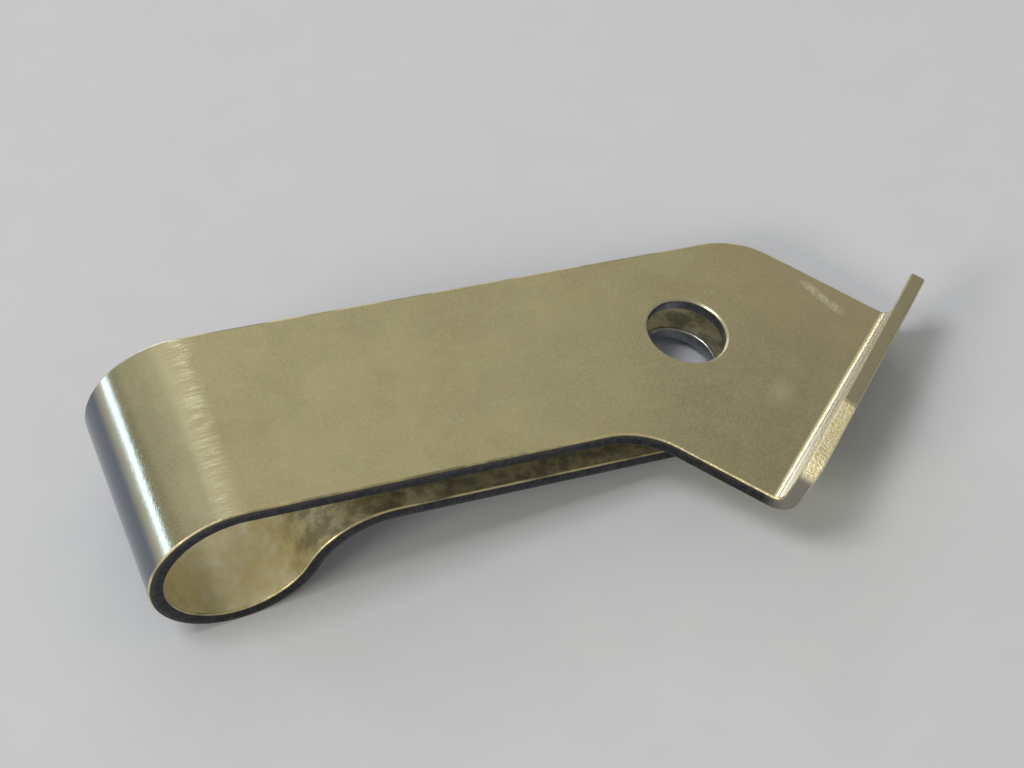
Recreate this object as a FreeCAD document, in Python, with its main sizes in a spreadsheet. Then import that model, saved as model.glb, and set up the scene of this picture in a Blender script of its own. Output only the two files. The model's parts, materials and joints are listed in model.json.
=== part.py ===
import FreeCAD, Part
import os
from math import asin, atan2, cos, degrees, hypot, radians, sin

import Sketcher
from FreeCAD import Placement, Rotation, Units, Vector

# A clip bent from one strip of sheet steel. The strip lies flat as an upper leaf, rolls
# under into an eye that grips a rod, comes up through a joggled neck and runs back under
# the upper leaf as a lower leaf. One bolt goes through both leaves. Past the bolt the
# upper leaf turns sideways into a wider tab, and the tab's end is bent up as a flange.
#
# The strip is one piece, and only its roll flexes. It is modelled as the two stiff leaves
# and the flexing roll between them, which meet face to face where the strip is continuous.
#
# The frame's origin is on the eye's axis at the middle of the strip's width. +Y runs along
# the eye, +X towards the flange, and +Z up from the surface that the clip lies on. The clip
# rests on the eye's underside and the lower leaf's tip, so the leaves slope down to +X.

os.makedirs("parts", exist_ok=True)
doc = FreeCAD.newDocument("strip_clip")

# ---- driving dimensions, millimetres and degrees ------------------------------------

sizes = {
    "strip_width": 22.0,          # both leaves and the eye
    "gauge": 1.6,                 # sheet thickness
    "eye_radius": 7.5,            # inside, the rod that the eye grips
    "neck_radius": 7.5,           # inside, where the neck turns level with the leaves
    "leaf_gap": 3.15,             # clear space between the two leaves
    "hole_reach": 51.4,           # eye's axis to the bolt hole
    "hole_diameter": 8.4,         # clearance for an 8 mm bolt
    "tip_reach": 8.4,             # bolt hole to the end of the lower leaf
    "tip_round": 2.0,             # lower leaf's two corners, seen from above
    "kink_angle": 50.0,           # how far the tab turns away from the leaf
    "kink_radius": 8.8,           # both corners of that turn
    "tab_near": 14.8,             # bolt hole to the tab's near side
    "tab_far": 15.7,              # bolt hole to the tab's far side
    "bend_reach": 16.3,           # bolt hole to where the flange's bend begins
    "bend_radius": 1.1,           # inside the flange's bend
    "bend_angle": 85.0,           # how far the flange is turned up, so it leans out a little
    "flange_rise": 6.6,           # flange's top edge above the tab's upper face
    "flange_flare": 1.0,          # how far its top edge runs on past the tab's far side
    "flange_near_round": 2.0,     # flange's top corner on the near side
    "flange_far_round": 0.8,      # flange's top corner on the far side
}

dims = doc.addObject("Spreadsheet::Sheet", "dims")
for row, (alias, value) in enumerate(sizes.items(), start=1):
    dims.set(f"A{row}", alias)
    dims.set(f"B{row}", str(value))
    dims.setAlias(f"B{row}", alias)
doc.recompute()

strip_width = sizes["strip_width"]
gauge = sizes["gauge"]
eye_radius = sizes["eye_radius"]
neck_radius = sizes["neck_radius"]
hole_reach = sizes["hole_reach"]
bend_reach = sizes["bend_reach"]
bend_radius = sizes["bend_radius"]
bend_angle = sizes["bend_angle"]

# ---- places that follow from those sizes ---------------------------------------------

# Seen from the side with the leaves level, the eye's arc runs straight into the neck's
# reverse arc where the line between their two centres crosses the sheet.
leaf_level = eye_radius - sizes["leaf_gap"] - gauge
neck_drop = neck_radius - leaf_level
centre_span = eye_radius + gauge + neck_radius
neck_lean = degrees(asin(neck_drop / centre_span))
neck_centre = (centre_span * cos(radians(neck_lean)), -neck_drop)

# The same values as formulas on the sheet's cells, which the sketches use.
LEAF_LEVEL = "(dims.eye_radius - dims.leaf_gap - dims.gauge)"
CENTRE_SPAN = "(dims.eye_radius + dims.gauge + dims.neck_radius)"
NECK_LEAN = f"asin((dims.neck_radius - {LEAF_LEVEL}) / {CENTRE_SPAN})"

# The clip lies on the eye's outside and on the lower leaf's tip, which share a level line.
tip = hole_reach + sizes["tip_reach"]
slope = degrees(asin((eye_radius + gauge) / hypot(tip, leaf_level)) + atan2(leaf_level, tip))
RESTING = Placement(Vector(0, 0, 0), Rotation(Vector(0, 1, 0), slope))

# ---- how sketches are made -----------------------------------------------------------

START = 1
END = 2
CENTRE = 3
ORIGIN = (-1, START)
HORIZONTAL_AXIS = -1
VERTICAL_AXIS = -2


def new_body(label):
    """One piece of the clip, under the name that its file gets."""
    body = doc.addObject("PartDesign::Body", label)
    body.Label = label
    return body


def new_sketch(body, name, plane):
    """A sketch on one of the body's own origin planes."""
    sketch = body.newObject("Sketcher::SketchObject", name)
    planes = [feature for feature in body.Origin.OriginFeatures if feature.Role == plane]
    sketch.AttachmentSupport = [(planes[0], "")]
    sketch.MapMode = "FlatFace"
    return sketch


def on_circle(centre, radius, angle):
    """The point at an angle in degrees on a circle."""
    return (centre[0] + radius * cos(radians(angle)), centre[1] + radius * sin(radians(angle)))


def line(sketch, start, end):
    return sketch.addGeometry(Part.LineSegment(Vector(*start, 0), Vector(*end, 0)))


def arc(sketch, centre, radius, first, last):
    """An arc that runs anticlockwise from one angle in degrees to another."""
    circle = Part.Circle(Vector(*centre, 0), Vector(0, 0, 1), radius)
    return sketch.addGeometry(Part.ArcOfCircle(circle, radians(first), radians(last)))


def tie(sketch, kind, *places):
    """A constraint without a size, such as Coincident or Tangent."""
    sketch.addConstraint(Sketcher.Constraint(kind, *places))


def measure(sketch, name, formula, kind, *places):
    """A constraint whose size is a formula on the sheet's cells."""
    value = Units.Quantity(sketch.evalExpression(formula)).Value
    if kind == "Angle":
        value = radians(value)
    index = sketch.addConstraint(Sketcher.Constraint(kind, *places, value))
    sketch.renameConstraint(index, name)
    sketch.setExpression(f"Constraints.{name}", formula)


# ---- how features are made -----------------------------------------------------------

def pad_across(body, sketch, name, formula):
    """A pad of a side view, half of it to each side of the sketch's plane."""
    pad = body.newObject("PartDesign::Pad", name)
    pad.Profile = sketch
    pad.SideType = "Symmetric"
    pad.setExpression("Length", formula)
    return pad


def bolt_hole(body, formula=None, reach=0.0):
    """The bolt's hole right through a leaf, at the body's origin or some way along X."""
    plan = new_sketch(body, f"{body.Label}_hole_plan", "XY_Plane")
    radius = sizes["hole_diameter"] / 2
    hole = plan.addGeometry(Part.Circle(Vector(reach, 0, 0), Vector(0, 0, 1), radius))
    measure(plan, "diameter", "dims.hole_diameter", "Diameter", hole)
    if formula:
        tie(plan, "PointOnObject", hole, CENTRE, HORIZONTAL_AXIS)
        measure(plan, "reach", formula, "DistanceX", *ORIGIN, hole, CENTRE)
    else:
        tie(plan, "Coincident", hole, CENTRE, *ORIGIN)
    doc.recompute()
    before = body.Shape.Volume
    pocket = body.newObject("PartDesign::Pocket", f"{body.Label}_bolt_hole")
    pocket.Profile = plan
    pocket.Type = "ThroughAll"
    pocket.SideType = "Symmetric"
    doc.recompute()
    assert body.Shape.Volume < before, f"the bolt hole cuts nothing from {body.Label}"


def round_edges(body, name, middle, formula):
    """A fillet on the edge whose middle is at a point, on the body's latest feature."""
    doc.recompute()
    base = body.Tip
    edges = []
    for number, edge in enumerate(base.Shape.Edges, start=1):
        place = edge.valueAt((edge.FirstParameter + edge.LastParameter) / 2)
        if place.distanceToPoint(middle) < 0.01:
            edges.append(f"Edge{number}")
    fillet = body.newObject("PartDesign::Fillet", name)
    fillet.Base = (base, edges)
    fillet.setExpression("Radius", formula)
    doc.recompute()


# ---- rolled eye: the flexing part of the strip ---------------------------------------

def make_rolled_eye():
    body = new_body("rolled_eye")
    side = new_sketch(body, "eye_side_view", "XZ_Plane")
    axis = (0.0, 0.0)
    neck = 360 - neck_lean
    outside = arc(side, axis, eye_radius + gauge, 90, neck)
    inside = arc(side, axis, eye_radius, 90, neck)
    leaf_end = line(side, (0, eye_radius), (0, eye_radius + gauge))
    neck_end = line(side, on_circle(axis, eye_radius, neck), on_circle(axis, eye_radius + gauge, neck))
    tie(side, "Coincident", outside, CENTRE, *ORIGIN)
    tie(side, "Coincident", inside, CENTRE, *ORIGIN)
    tie(side, "Coincident", leaf_end, START, inside, START)
    tie(side, "Coincident", leaf_end, END, outside, START)
    tie(side, "PointOnObject", inside, START, VERTICAL_AXIS)
    tie(side, "PointOnObject", outside, START, VERTICAL_AXIS)
    tie(side, "Coincident", neck_end, START, inside, END)
    tie(side, "Coincident", neck_end, END, outside, END)
    tie(side, "PointOnObject", inside, CENTRE, neck_end)
    measure(side, "eye_radius", "dims.eye_radius", "Radius", inside)
    measure(side, "outer_radius", "dims.eye_radius + dims.gauge", "Radius", outside)
    measure(side, "neck_lean", f"-{NECK_LEAN}", "Angle", neck_end)
    pad_across(body, side, "rolled_strip", "dims.strip_width")
    body.Placement = RESTING
    return body


# ---- lower leaf: the neck's joggle and the flat leaf under the bolt ------------------

def make_lower_leaf():
    body = new_body("lower_leaf")
    side = new_sketch(body, "lower_leaf_side_view", "XZ_Plane")
    neck_start = 180 - neck_lean
    face = leaf_level + gauge
    above = arc(side, neck_centre, neck_radius + gauge, 90, neck_start)
    below = arc(side, neck_centre, neck_radius, 90, neck_start)
    top = line(side, (neck_centre[0], face), (tip, face))
    end = line(side, (tip, face), (tip, leaf_level))
    bottom = line(side, (tip, leaf_level), (neck_centre[0], leaf_level))
    neck_end = line(side, on_circle(neck_centre, neck_radius, neck_start),
                    on_circle(neck_centre, neck_radius + gauge, neck_start))
    tie(side, "Tangent", top, START, above, START)
    tie(side, "Coincident", top, END, end, START)
    tie(side, "Coincident", end, END, bottom, START)
    tie(side, "Tangent", bottom, END, below, START)
    tie(side, "Coincident", above, CENTRE, below, CENTRE)
    tie(side, "Coincident", neck_end, START, below, END)
    tie(side, "Coincident", neck_end, END, above, END)
    tie(side, "PointOnObject", below, CENTRE, neck_end)
    tie(side, "Horizontal", top)
    tie(side, "Vertical", end)
    measure(side, "neck_radius", "dims.neck_radius", "Radius", below)
    measure(side, "gauge", "dims.gauge", "DistanceY", end, END, end, START)
    measure(side, "leaf_level", LEAF_LEVEL, "DistanceY", *ORIGIN, bottom, START)
    measure(side, "tip", "dims.hole_reach + dims.tip_reach", "DistanceX", *ORIGIN, end, START)
    measure(side, "neck_place", f"{CENTRE_SPAN} * cos({NECK_LEAN})", "DistanceX",
            *ORIGIN, below, CENTRE)
    measure(side, "neck_lean", f"180 deg - {NECK_LEAN}", "Angle", neck_end)
    pad_across(body, side, "joggled_strip", "dims.strip_width")
    for name, across in (("tip_near_corner", -strip_width / 2), ("tip_far_corner", strip_width / 2)):
        round_edges(body, name, Vector(tip, across, leaf_level + gauge / 2), "dims.tip_round")
    bolt_hole(body, "dims.hole_reach", hole_reach)
    body.Placement = RESTING
    return body


# ---- upper leaf: the flat leaf, its sideways tab and the flange ----------------------

# This body has its own frame: the bolt hole's centre on the leaf's underside, X from the
# hole straight out to the flange, and Y across the tab. The leaf slants away at the kink
# angle, and the body is turned back by that angle when it is placed.

def make_upper_leaf():
    body = new_body("upper_leaf")
    kink = sizes["kink_angle"]
    kink_radius = sizes["kink_radius"]
    near = -sizes["tab_near"]
    far = sizes["tab_far"]

    def from_strip(along, across):
        """A point given along and across the strip from the hole, in this body's frame."""
        turned = Rotation(Vector(0, 0, 1), kink).multVec(Vector(along, across, 0))
        return (turned.x, turned.y)

    def corner(across, side):
        """Where a straight edge of the strip would meet a straight side of the tab."""
        along = (side - across * cos(radians(kink))) / sin(radians(kink))
        return from_strip(along, across)

    set_back = kink_radius * (1 - cos(radians(kink))) / sin(radians(kink))
    near_corner = corner(-strip_width / 2, near)
    far_corner = corner(strip_width / 2, far)
    lead = (cos(radians(kink)) * set_back, sin(radians(kink)) * set_back)

    plan = new_sketch(body, "upper_leaf_plan", "XY_Plane")
    eye_near = from_strip(-hole_reach, -strip_width / 2)
    eye_far = from_strip(-hole_reach, strip_width / 2)
    leaf_near = line(plan, eye_near, (near_corner[0] - lead[0], near_corner[1] - lead[1]))
    near_turn = arc(plan, (near_corner[0] + set_back, near - kink_radius), kink_radius, 90, 90 + kink)
    tab_near = line(plan, (near_corner[0] + set_back, near), (bend_reach, near))
    bend_line = line(plan, (bend_reach, near), (bend_reach, far))
    tab_far = line(plan, (bend_reach, far), (far_corner[0] + set_back, far))
    far_turn = arc(plan, (far_corner[0] + set_back, far - kink_radius), kink_radius, 90, 90 + kink)
    leaf_far = line(plan, (far_corner[0] - lead[0], far_corner[1] - lead[1]), eye_far)
    eye_end = line(plan, eye_far, eye_near)
    tie(plan, "Tangent", leaf_near, END, near_turn, END)
    tie(plan, "Tangent", near_turn, START, tab_near, START)
    tie(plan, "Coincident", tab_near, END, bend_line, START)
    tie(plan, "Coincident", bend_line, END, tab_far, START)
    tie(plan, "Tangent", tab_far, END, far_turn, START)
    tie(plan, "Tangent", far_turn, END, leaf_far, START)
    tie(plan, "Coincident", leaf_far, END, eye_end, START)
    tie(plan, "Coincident", eye_end, END, leaf_near, START)
    tie(plan, "Horizontal", tab_near)
    tie(plan, "Horizontal", tab_far)
    tie(plan, "Vertical", bend_line)
    tie(plan, "Parallel", leaf_near, leaf_far)
    tie(plan, "Perpendicular", leaf_near, eye_end)
    tie(plan, "Equal", near_turn, far_turn)
    measure(plan, "kink_angle", "dims.kink_angle * 1 deg", "Angle", leaf_near)
    measure(plan, "kink_radius", "dims.kink_radius", "Radius", near_turn)
    measure(plan, "near_edge", "dims.strip_width / 2", "Distance", *ORIGIN, leaf_near)
    measure(plan, "far_edge", "dims.strip_width / 2", "Distance", *ORIGIN, leaf_far)
    measure(plan, "hole_reach", "dims.hole_reach", "Distance", *ORIGIN, eye_end)
    measure(plan, "tab_near", "dims.tab_near", "DistanceY", tab_near, END, *ORIGIN)
    measure(plan, "tab_far", "dims.tab_far", "DistanceY", *ORIGIN, tab_far, START)
    measure(plan, "bend_reach", "dims.bend_reach", "DistanceX", *ORIGIN, tab_near, END)
    leaf = body.newObject("PartDesign::Pad", "flat_leaf")
    leaf.Profile = plan
    leaf.setExpression("Length", "dims.gauge")

    # Side view of the flange: up round the bend, then straight on, leaning outwards by what
    # the bend falls short of a right angle.
    rise = gauge + sizes["flange_rise"]
    bend = (bend_reach, gauge + bend_radius)
    last = 270 + bend_angle
    front_foot = on_circle(bend, bend_radius, last)
    back_foot = on_circle(bend, bend_radius + gauge, last)
    height = (rise - front_foot[1]) / sin(radians(bend_angle))
    front_top = on_circle(front_foot, height, bend_angle)
    back_top = on_circle(back_foot, height, bend_angle)
    side = new_sketch(body, "flange_side_view", "XZ_Plane")
    bend_outside = arc(side, bend, bend_radius + gauge, 270, last)
    bend_inside = arc(side, bend, bend_radius, 270, last)
    start = line(side, (bend_reach, 0), (bend_reach, gauge))
    back = line(side, back_foot, back_top)
    top = line(side, back_top, front_top)
    front = line(side, front_top, front_foot)
    tie(side, "Coincident", start, START, bend_outside, START)
    tie(side, "Coincident", start, END, bend_inside, START)
    tie(side, "Coincident", bend_inside, CENTRE, bend_outside, CENTRE)
    tie(side, "Tangent", bend_outside, END, back, START)
    tie(side, "Coincident", back, END, top, START)
    tie(side, "Coincident", top, END, front, START)
    tie(side, "Tangent", front, END, bend_inside, END)
    tie(side, "Perpendicular", back, top)
    tie(side, "Vertical", start)
    tie(side, "PointOnObject", start, START, HORIZONTAL_AXIS)
    tie(side, "Vertical", bend_inside, CENTRE, start, START)
    measure(side, "bend_reach", "dims.bend_reach", "DistanceX", *ORIGIN, start, START)
    measure(side, "gauge", "dims.gauge", "DistanceY", start, START, start, END)
    measure(side, "bend_radius", "dims.bend_radius", "Radius", bend_inside)
    measure(side, "bend_angle", "dims.bend_angle * 1 deg", "Angle", back)
    measure(side, "rise", "dims.gauge + dims.flange_rise", "DistanceY", *ORIGIN, top, END)
    flange = body.newObject("PartDesign::Pad", "bent_flange")
    flange.Profile = side
    flange.SideType = "Two sides"
    flange.setExpression("Length", "dims.tab_near")
    flange.setExpression("Length2", "dims.tab_far + dims.flange_flare")

    # The flange's far end slants out from the tab's far side at the bend to the flare at its
    # top, so the triangle under that slant is cut away.
    flare = sizes["flange_flare"]
    end_view = new_sketch(body, "flange_end_view", "YZ_Plane")
    foot = (far, 0)
    outer_foot = (far + flare, 0)
    outer_top = (far + flare, rise)
    base = line(end_view, foot, outer_foot)
    outer = line(end_view, outer_foot, outer_top)
    slant = line(end_view, outer_top, foot)
    tie(end_view, "Coincident", base, END, outer, START)
    tie(end_view, "Coincident", outer, END, slant, START)
    tie(end_view, "Coincident", slant, END, base, START)
    tie(end_view, "PointOnObject", base, START, HORIZONTAL_AXIS)
    tie(end_view, "Horizontal", base)
    tie(end_view, "Vertical", outer)
    measure(end_view, "tab_far", "dims.tab_far", "DistanceX", *ORIGIN, base, START)
    measure(end_view, "flare", "dims.flange_flare", "DistanceX", base, START, base, END)
    measure(end_view, "rise", "dims.gauge + dims.flange_rise", "DistanceY", outer, START, outer, END)
    slanted = body.newObject("PartDesign::Pocket", "slanted_flange_end")
    slanted.Profile = end_view
    slanted.Type = "ThroughAll"
    slanted.SideType = "Symmetric"

    edge = ((front_top[0] + back_top[0]) / 2, (front_top[1] + back_top[1]) / 2)
    near_end = Vector(edge[0], near, edge[1])
    far_end = Vector(edge[0], far + flare * edge[1] / rise, edge[1])
    round_edges(body, "flange_near_corner", near_end, "dims.flange_near_round")
    round_edges(body, "flange_far_corner", far_end, "dims.flange_far_round")
    bolt_hole(body)
    in_strip = Placement(Vector(hole_reach, 0, eye_radius), Rotation(Vector(0, 0, 1), -kink))
    body.Placement = RESTING.multiply(in_strip)
    return body


# ---- build, check and write ----------------------------------------------------------

pieces = [make_upper_leaf(), make_rolled_eye(), make_lower_leaf()]
doc.recompute()

for item in doc.Objects:
    faults = [word for word in item.State if word in ("Invalid", "Error")]
    assert not faults, f"{item.Name}: {faults}"
for body in pieces:
    shape = body.Shape
    assert not shape.isNull() and shape.isValid() and len(shape.Solids) == 1, body.Label

print(f"the leaves slope at {slope:.2f} degrees, and the neck leans {90 - neck_lean:.1f} degrees")
for body in pieces:
    box = body.Shape.BoundBox
    print(f"{body.Label:<12} x {box.XMin:7.2f} {box.XMax:7.2f}   y {box.YMin:7.2f} {box.YMax:7.2f}"
          f"   z {box.ZMin:7.2f} {box.ZMax:7.2f}   {body.Shape.Volume:8.1f} mm3")
    body.Shape.exportStep(f"parts/{body.Label}.step")
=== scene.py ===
# %% [markdown]
# # A spring clip bent from one strip of plated steel
#
# The real object is a single piece of sheet steel. A press cuts out a flat blank, punches
# its holes, turns up a flange at one end and rolls the other end round a rod, and the whole
# clip is then plated. This lesson makes it in the same order: it lays out a flat blank,
# cuts it, and bends it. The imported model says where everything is, so it is loaded first.

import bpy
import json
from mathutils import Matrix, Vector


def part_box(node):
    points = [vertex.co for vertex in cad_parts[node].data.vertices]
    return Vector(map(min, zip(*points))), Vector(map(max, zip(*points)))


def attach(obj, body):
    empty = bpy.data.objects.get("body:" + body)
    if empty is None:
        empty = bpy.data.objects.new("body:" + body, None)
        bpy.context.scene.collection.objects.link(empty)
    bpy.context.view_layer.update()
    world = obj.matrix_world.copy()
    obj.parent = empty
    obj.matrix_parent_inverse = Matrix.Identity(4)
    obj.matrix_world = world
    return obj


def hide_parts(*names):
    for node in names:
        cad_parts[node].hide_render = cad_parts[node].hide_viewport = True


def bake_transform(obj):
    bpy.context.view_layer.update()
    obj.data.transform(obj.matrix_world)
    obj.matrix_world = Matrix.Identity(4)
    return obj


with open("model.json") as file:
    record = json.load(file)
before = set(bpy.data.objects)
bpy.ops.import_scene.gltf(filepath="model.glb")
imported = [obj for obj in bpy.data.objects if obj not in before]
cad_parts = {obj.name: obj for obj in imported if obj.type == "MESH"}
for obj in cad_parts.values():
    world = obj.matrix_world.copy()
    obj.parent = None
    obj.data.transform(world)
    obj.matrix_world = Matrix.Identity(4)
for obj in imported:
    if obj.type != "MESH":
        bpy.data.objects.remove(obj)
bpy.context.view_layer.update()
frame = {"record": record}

# %% [markdown]
# ## Sizes
#
# A toolmaker reads the drawing before cutting anything. Here the drawing is the packed
# record: its mounts give the eye, the bolt hole and the flange's face. Blender works in
# metres, but a small part is easier to think about in millimetres, so the blank is laid out
# in millimetres and turned into metres only when its mesh is made.

# %% Read the clip's main sizes from the record
import math

METRE = 1000.0
mounts = {mount["name"]: mount for mount in frame["record"]["mounts"]}
strip_width = mounts["rod_eye"]["dims"]["length_mm"]
eye_radius = mounts["rod_eye"]["dims"]["r_mm"]
gauge = -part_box("rolled_eye")[0].x * METRE - eye_radius
leaf_gap = mounts["bolt_hole"]["dims"]["length_mm"] - 2 * gauge
hole_radius = mounts["bolt_hole"]["dims"]["r_mm"]
floor_level = -(eye_radius + gauge)
print(f"strip {strip_width:.1f} x {gauge:.2f} mm, eye radius {eye_radius} mm, gap {leaf_gap:.2f} mm")

# %% [markdown]
# The clip lies on its eye and on the lower leaf's tip, so its leaves slope. All the bending
# is easier on a level strip, so the shapes are worked out level and tipped by the slope at
# the very end. `tip_over` does that, and `level` takes a place in the frame back.

# %% Find the slope, and tip shapes by it
from mathutils import Matrix, Vector

leaf_normal = Vector(mounts["bolt_hole"]["axis"])
slope = math.atan2(leaf_normal.x, leaf_normal.z)
tip_over = Matrix.Rotation(slope, 3, "Y")
level = tip_over.inverted()
hole_reach = (level @ Vector(mounts["bolt_hole"]["pos_m"])).x * METRE
flange_normal = level @ Vector(mounts["flange_face"]["axis"])
kink = math.atan2(-flange_normal.y, flange_normal.x)
mean_bend = math.acos(-flange_normal.z)
print(f"slope {math.degrees(slope):.2f} degrees")
print(f"kink {math.degrees(kink):.1f}, bend {math.degrees(mean_bend):.1f} degrees")

# %% [markdown]
# The record does not hold every size. The rest are the same numbers as in the drawing: the
# tab's two sides measured from the bolt hole, where the flange's bend starts, and the
# rounded corners.

# %% The remaining sizes
kink_radius = 8.8
tab_near = 14.8
tab_far = 15.7
bend_reach = 16.3
bend_radius = 1.1
flange_rise = 6.6
flange_near_round = 2.0
flange_flare = 1.0
flange_far_round = 0.8
tip_reach = 8.4
tip_round = 2.0
neck_radius = 7.5
half = strip_width / 2

# %% [markdown]
# ## Bending
#
# Bending sheet steel moves every point in a way that can be written down: along a bend the
# middle of the sheet keeps its length, the outside stretches and the inside shrinks. So a
# bend can be a function from a place on the flat blank (`run` along the strip, `across` it,
# and `depth` up through the sheet) to a place on the bent clip. The alternative is
# Blender's Simple Deform modifier, but it takes one bend at a time and is hard to make
# exact.
#
# The strip's side view has three stretches. `run` is zero where the leaf starts to roll and
# grows along the upper leaf. Below zero it goes round the eye, then back up round the neck,
# and then straight along the lower leaf.

# %% The strip's side view as a function
leaf_level = eye_radius - leaf_gap - gauge
neck_drop = neck_radius - leaf_level
centre_span = eye_radius + gauge + neck_radius
neck_lean = math.asin(neck_drop / centre_span)
neck_centre = Vector((centre_span * math.cos(neck_lean), 0, -neck_drop))
eye_middle = eye_radius + gauge / 2
neck_middle = neck_radius + gauge / 2
eye_turn = math.radians(270) - neck_lean
neck_turn = math.radians(90) - neck_lean
eye_run = -eye_turn * eye_middle
neck_run = eye_run - neck_turn * neck_middle
tip_run = neck_run - (hole_reach + tip_reach - neck_centre.x)


def roll_strip(run, across, depth):
    """Where a point of the flat strip goes when the eye and the neck are rolled."""
    if run >= 0:
        return Vector((run, across, eye_radius + depth))
    if run >= eye_run:
        angle = math.radians(90) - run / eye_middle
        radius = eye_radius + depth
        return Vector((radius * math.cos(angle), across, radius * math.sin(angle)))
    if run >= neck_run:
        angle = math.pi - neck_lean + (run - eye_run) / neck_middle
        radius = neck_radius + gauge - depth
        return neck_centre + Vector((radius * math.cos(angle), across, radius * math.sin(angle)))
    straight = neck_run - run
    return Vector((neck_centre.x + straight, across, leaf_level + gauge - depth))


print(f"the eye takes {-eye_run:.1f} mm of strip, the neck {eye_run - neck_run:.1f} mm")

# %% [markdown]
# The flange's bend lies across the tab, which is turned away from the strip. `tab_place`
# gives a blank point as `out`, square to the bend, and `side`, along it. A press does not
# turn a short flange up evenly: on this clip the near end leans out more than the far end,
# so the bend's angle changes a little from one end to the other, about the drawing's angle.

# %% The flange's bend as a function
outward = Vector((math.cos(kink), -math.sin(kink)))
sideways = Vector((math.sin(kink), math.cos(kink)))
near_lean = math.radians(2.1)
far_lean = math.radians(4.3)
bend_middle = bend_radius + gauge / 2


def tab_place(run, across):
    """A blank point as distances from the bolt hole, square to the bend and along it."""
    from_hole = Vector((run - hole_reach, across))
    return from_hole.dot(outward), from_hole.dot(sideways)


def blank_place(out, side):
    """The blank point at those distances."""
    return Vector((hole_reach, 0)) + out * outward + side * sideways


def bend_at(side):
    """The bend's angle at a place along the flange."""
    share = (side + tab_near) / (tab_near + tab_far)
    return mean_bend - near_lean + (near_lean + far_lean) * share


def turn_up_flange(run, across, depth):
    """Where a point of the upper leaf's blank goes when the flange is turned up."""
    out, side = tab_place(run, across)
    if out <= bend_reach:
        return roll_strip(run, across, depth)
    bend = bend_at(side)
    turned = min((out - bend_reach) / bend_middle, bend)
    straight = out - bend_reach - turned * bend_middle
    radius = bend_radius + gauge - depth
    reach = bend_reach + radius * math.sin(turned) + straight * math.cos(turned)
    rise = bend_radius + gauge - radius * math.cos(turned) + straight * math.sin(turned)
    plan = blank_place(reach, side)
    return Vector((plan.x, plan.y, eye_radius + rise))


flange_straight = (flange_rise - bend_radius * (1 - math.cos(mean_bend))) / math.sin(mean_bend)
flange_end = bend_reach + mean_bend * bend_middle + flange_straight
print(f"the flange takes the last {flange_end - bend_reach:.1f} mm of the blank")

# %% [markdown]
# ## Cutting out a blank
#
# A blank is an outline with straight sides and rounded corners. `trace` walks round a list
# of corners, each with its own radius, and puts points along the sides and the arcs.
# `with_inward` then puts beside each point the direction in to the metal, which the edge's
# rounding needs. Where two pieces of the same strip meet, there is no real edge: that side is
# marked as joined and is left square, so that the two pieces fit like one.

# %% Walk round an outline
ARC_STEP = 0.22
SMALLEST_ARC = 0.6
SAME_PLACE = 1e-6


def unit(vector):
    return vector.normalized()


def fillet(before, corner, after, radius):
    """The points of a rounded corner, from one side to the other."""
    come = unit(corner - before)
    go = unit(after - corner)
    turn = math.atan2(come.cross(go), come.dot(go))
    set_back = radius * math.tan(abs(turn) / 2)
    bend = 1 if turn > 0 else -1
    centre = corner - come * set_back + Vector((-come.y, come.x)) * radius * bend
    spoke = corner - come * set_back - centre
    steps = max(4, round(abs(turn) * max(radius, SMALLEST_ARC) / ARC_STEP))
    return [centre + Matrix.Rotation(turn * step / steps, 2) @ spoke for step in range(steps + 1)]


def trace(corners, step):
    """Points round a closed outline: (place, True on a joined side).

    corners are (x, y, radius, joined), anticlockwise; joined is for the side that follows."""
    places = [Vector(corner[:2]) for corner in corners]
    arcs = []
    for index, corner in enumerate(places):
        after = places[(index + 1) % len(places)]
        radius = corners[index][2]
        arcs.append(fillet(places[index - 1], corner, after, radius) if radius else [corner])
    points = []
    for index, arc in enumerate(arcs):
        joined = corners[index][3]
        end = arcs[(index + 1) % len(arcs)][0]
        count = max(1, math.ceil((end - arc[-1]).length / step))
        points += [(point, False) for point in arc]
        points += [(arc[-1].lerp(end, share / count), joined) for share in range(1, count)]
    return points


def with_inward(points, corners):
    """Adds each point's direction in to the metal, which at a joined side runs along it."""
    joined_lines = []
    for index, corner in enumerate(corners):
        if corner[3]:
            following = corners[(index + 1) % len(corners)]
            joined_lines.append((Vector(corner[:2]), Vector(following[:2])))
    rim = []
    for index, (place, joined) in enumerate(points):
        before = points[index - 1][0]
        after = points[(index + 1) % len(points)][0]
        along = unit(after - before)
        inward = Vector((-along.y, along.x))
        for start, end in joined_lines:
            if (place - start).length < SAME_PLACE:
                inward = unit(end - start)
            if (place - end).length < SAME_PLACE:
                inward = unit(start - end)
        rim.append((place, Vector((0, 0)) if joined else inward))
    return rim


# %% [markdown]
# A hole is a closed ring. Its metal is on the outside, so its points run clockwise and
# their directions point away from the centre.

# %% Punch a hole's ring
def hole_ring(centre, radius, count=96):
    ring = []
    for index in range(count):
        angle = -math.tau * index / count
        spoke = Vector((math.cos(angle), math.sin(angle)))
        ring.append((centre + spoke * radius, spoke))
    return ring


# %% [markdown]
# The sheet's edges were cut by a press and then tumbled and plated, so no edge is sharp.
# Each rim gets a small round at the top and at the bottom. `edge_profile` lists the steps
# down an edge: how far in from the rim, how high up the sheet, and which way the surface
# faces there, as a part that points out and a part that points up.

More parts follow.
